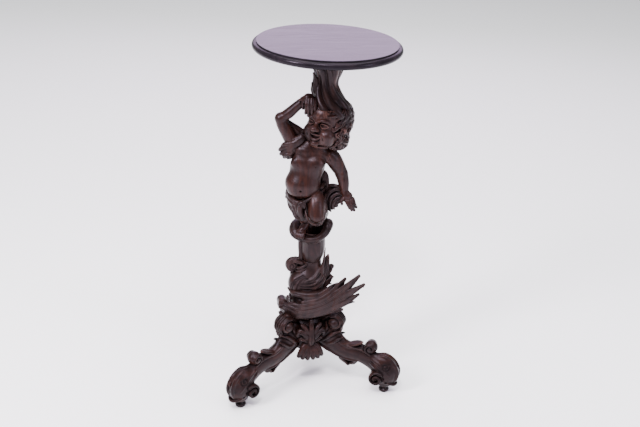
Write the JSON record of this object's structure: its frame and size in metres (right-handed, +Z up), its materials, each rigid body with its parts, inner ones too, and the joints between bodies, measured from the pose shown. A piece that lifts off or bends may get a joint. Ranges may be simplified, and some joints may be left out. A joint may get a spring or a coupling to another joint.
{
  "type": "candle stand",
  "caption": "Carved wooden pedestal stand: a round moulded top held up by a cherub on a vase and acanthus carving, on a tripod of scroll legs with bun feet.",
  "frame": {"origin": "centre of the bounding box in plan, on the floor plane under the bun feet", "axes": "+Z up, -Y to the front (the palmette between the two front legs), +X to the viewer's right; the third leg runs to +Y"},
  "size_m": [0.491, 0.4751, 1],
  "materials": {
    "top_wood": "gloss dark stained hardwood",
    "figure_wood": "satin dark stained walnut",
    "carved_wood": "satin dark stained walnut",
    "base_wood": "satin dark stained walnut",
    "turned_wood": "satin dark stained walnut",
    "dowel_wood": "plain unstained beech",
    "steel": "plain"
  },
  "bodies": {
    "root": {"table_top": "top_wood", "top_bearer": "top_wood", "bearer_screws": "steel", "top_dowel": "dowel_wood", "neck_shaft": "carved_wood", "neck_leaf": "carved_wood", "neck_dowel": "dowel_wood", "cherub_head": "figure_wood", "head_dowel": "dowel_wood", "cherub_torso": "figure_wood", "raised_arm": "figure_wood", "lowered_arm": "figure_wood", "arm_pegs": "dowel_wood", "standing_leg": "figure_wood", "kneeling_leg": "figure_wood", "leg_pegs": "dowel_wood", "shoulder_sash": "carved_wood", "waist_sash": "carved_wood", "loincloth": "carved_wood", "fan_drapery": "carved_wood", "back_drapery": "carved_wood", "figure_dowel": "dowel_wood", "vase_stem": "carved_wood", "upper_volute": "carved_wood", "side_leaf": "carved_wood", "stem_dowel": "dowel_wood", "shell_tier": "carved_wood", "shell_leaf": "carved_wood", "swirl_block": "carved_wood", "swirl_wing": "carved_wood", "swirl_scroll": "carved_wood", "column_dowel": "dowel_wood", "hub": "base_wood", "leg_left": "base_wood", "leg_right": "base_wood", "leg_rear": "base_wood", "leg_dowels": "dowel_wood", "bun_foot_left": "turned_wood", "bun_foot_right": "turned_wood", "bun_foot_rear": "turned_wood", "palmette_front": "base_wood", "palmette_left": "base_wood", "palmette_right": "base_wood", "palmette_pins": "dowel_wood"}
  },
  "joints": []
}
